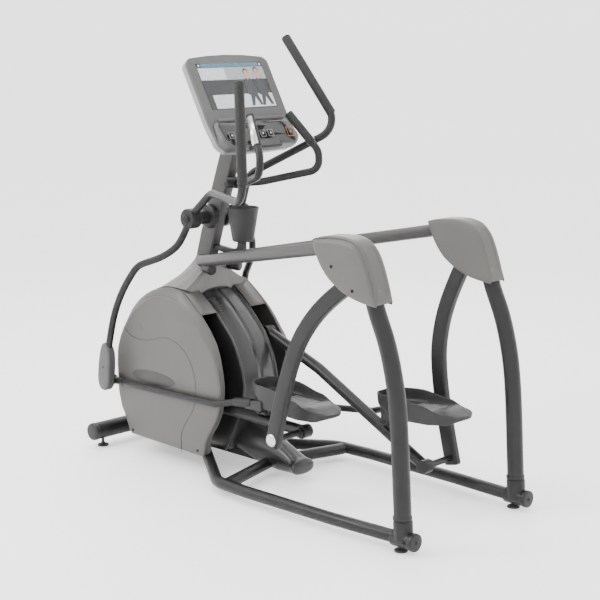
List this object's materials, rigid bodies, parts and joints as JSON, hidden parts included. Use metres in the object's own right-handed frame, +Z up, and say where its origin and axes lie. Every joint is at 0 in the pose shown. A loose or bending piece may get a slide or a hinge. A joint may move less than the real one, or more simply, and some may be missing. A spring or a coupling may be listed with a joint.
{
  "type": "elliptical trainer",
  "caption": "Rear-suspension elliptical trainer: disc-shaped drive housing, two towers with swinging links, long pedals, moving and fixed handles, and a mast with a console.",
  "frame": {"origin": "on the floor, under the middle of the whole machine", "axes": "+X to the user's right, +Y the way the user faces (from the towers to the console), +Z up"},
  "size_m": [0.7614, 1.9, 1.7869],
  "materials": {
    "tube_paint": "satin",
    "rail_paint": "satin",
    "cover_plastic": "satin moulded",
    "dark_plastic": "fine texture",
    "foot_rubber": "matt",
    "grip_rubber": "matt",
    "belt_rubber": "matt",
    "bright_steel": "satin",
    "console_plastic": "fine texture",
    "amber_plastic": "gloss",
    "screen_glass": "gloss",
    "cast_metal": "machined"
  },
  "bodies": {
    "frame": {"front_stabilizer": "tube_paint", "main_spine": "tube_paint", "cross_tube": "tube_paint", "stabilizer_cap_left": "dark_plastic", "floor_tube_left": "tube_paint", "tower_joint_left": "tube_paint", "front_foot_left": "foot_rubber", "rear_foot_left": "foot_rubber", "tower_post_left": "tube_paint", "side_rail_left": "rail_paint", "tower_cover_left": "cover_plastic", "centre_housing_left": "dark_plastic", "pod_band_left": "dark_plastic", "side_disc_left": "cover_plastic", "pulse_plate_left": "bright_steel", "stabilizer_cap_right": "dark_plastic", "floor_tube_right": "tube_paint", "tower_joint_right": "tube_paint", "front_foot_right": "foot_rubber", "rear_foot_right": "foot_rubber", "tower_post_right": "tube_paint", "side_rail_right": "rail_paint", "tower_cover_right": "cover_plastic", "centre_housing_right": "dark_plastic", "pod_band_right": "dark_plastic", "side_disc_right": "cover_plastic", "pulse_plate_right": "bright_steel", "tail_boot": "dark_plastic", "mast_shroud": "cover_plastic", "mast": "rail_paint", "handle_axle": "bright_steel", "static_handlebar": "tube_paint", "cup_holder": "dark_plastic", "console_housing": "console_plastic", "console_screen": "screen_glass", "console_keypad": "dark_plastic", "drive_belt": "belt_rubber"},
    "crank_set": {"crank": "cast_metal", "drive_pulley": "dark_plastic"},
    "flywheel_set": {"flywheel": "cast_metal"},
    "link_left": {"suspension_link_left": "tube_paint", "link_pin_left": "bright_steel"},
    "bar_left": {"foot_bar_left": "tube_paint"},
    "tread_left": {"pedal_left": "dark_plastic", "pedal_rod_left": "tube_paint"},
    "handle_left": {"handle_arm_left": "tube_paint", "handle_grip_left": "grip_rubber", "elbow_cover_left": "cover_plastic"},
    "link_right": {"suspension_link_right": "tube_paint", "link_pin_right": "bright_steel"},
    "bar_right": {"foot_bar_right": "tube_paint"},
    "tread_right": {"pedal_right": "dark_plastic", "pedal_rod_right": "tube_paint"},
    "handle_right": {"handle_arm_right": "tube_paint", "handle_grip_right": "grip_rubber", "elbow_cover_right": "cover_plastic"},
    "stop_key": {"stop_button": "amber_plastic"},
    "level_key": {"level_button": "console_plastic"},
    "start_key": {"start_button": "console_plastic"},
    "menu_key": {"menu_button": "console_plastic"}
  },
  "joints": [
    {"name": "crank_turn", "type": "hinge", "parent": "frame", "child": "crank_set", "pos_m": [0, 0.503, 0.398], "axis": [-1, 0, 0], "range_deg": [0, 180]},
    {"name": "flywheel_spin", "type": "hinge", "parent": "frame", "child": "flywheel_set", "pos_m": [0, 0.365, 0.225], "axis": [-1, 0, 0], "range_deg": [0, 1106]},
    {"name": "link_swing_left", "type": "hinge", "parent": "frame", "child": "link_left", "pos_m": [0, -0.648, 0.952], "axis": [1, 0, 0], "range_deg": [-28.54, 0]},
    {"name": "bar_hinge_left", "type": "hinge", "parent": "link_left", "child": "bar_left", "pos_m": [0, -0.21692, 0.26742], "axis": [1, 0, 0], "range_deg": [0, 55]},
    {"name": "pedal_hinge_left", "type": "hinge", "parent": "bar_left", "child": "tread_left", "pos_m": [0, 0.01917, 0.31201], "axis": [1, 0, 0], "range_deg": [-32.39, 0]},
    {"name": "handle_swing_left", "type": "hinge", "parent": "frame", "child": "handle_left", "pos_m": [0, 0.434, 1.042], "axis": [1, 0, 0], "range_deg": [-30.44, 0]},
    {"name": "link_swing_right", "type": "hinge", "parent": "frame", "child": "link_right", "pos_m": [0, -0.648, 0.952], "axis": [1, 0, 0], "range_deg": [0, 28.54]},
    {"name": "bar_hinge_right", "type": "hinge", "parent": "link_right", "child": "bar_right", "pos_m": [0, -0.5963, 0.14465], "axis": [1, 0, 0], "range_deg": [-55, 0]},
    {"name": "pedal_hinge_right", "type": "hinge", "parent": "bar_right", "child": "tread_right", "pos_m": [0, -0.40483, 0.28978], "axis": [1, 0, 0], "range_deg": [0, 32.39]},
    {"name": "handle_swing_right", "type": "hinge", "parent": "frame", "child": "handle_right", "pos_m": [0, 0.434, 1.042], "axis": [1, 0, 0], "range_deg": [0, 30.44]},
    {"name": "stop_press", "type": "slide", "parent": "frame", "child": "stop_key", "axis": [0, 0.8738, -0.4863], "range_m": [0, 0.0015], "stiffness_N_per_m": 400},
    {"name": "level_press", "type": "slide", "parent": "frame", "child": "level_key", "axis": [0, 0.8738, -0.4863], "range_m": [0, 0.0015], "stiffness_N_per_m": 400},
    {"name": "start_press", "type": "slide", "parent": "frame", "child": "start_key", "axis": [0, 0.8738, -0.4863], "range_m": [0, 0.0015], "stiffness_N_per_m": 400},
    {"name": "menu_press", "type": "slide", "parent": "frame", "child": "menu_key", "axis": [0, 0.8738, -0.4863], "range_m": [0, 0.0015], "stiffness_N_per_m": 400}
  ],
  "couplings": [
    {"joint": "flywheel_spin", "follows": "crank_turn", "ratio": 6.1429},
    {"joint": "link_swing_left", "follows": "crank_turn", "ratio": -0.15852},
    {"joint": "bar_hinge_left", "follows": "crank_turn", "ratio": 0.30555},
    {"joint": "pedal_hinge_left", "follows": "crank_turn", "ratio": -0.17995},
    {"joint": "handle_swing_left", "follows": "crank_turn", "ratio": -0.16913},
    {"joint": "link_swing_right", "follows": "crank_turn", "ratio": 0.15852},
    {"joint": "bar_hinge_right", "follows": "crank_turn", "ratio": -0.30555},
    {"joint": "pedal_hinge_right", "follows": "crank_turn", "ratio": 0.17995},
    {"joint": "handle_swing_right", "follows": "crank_turn", "ratio": 0.16913}
  ]
}
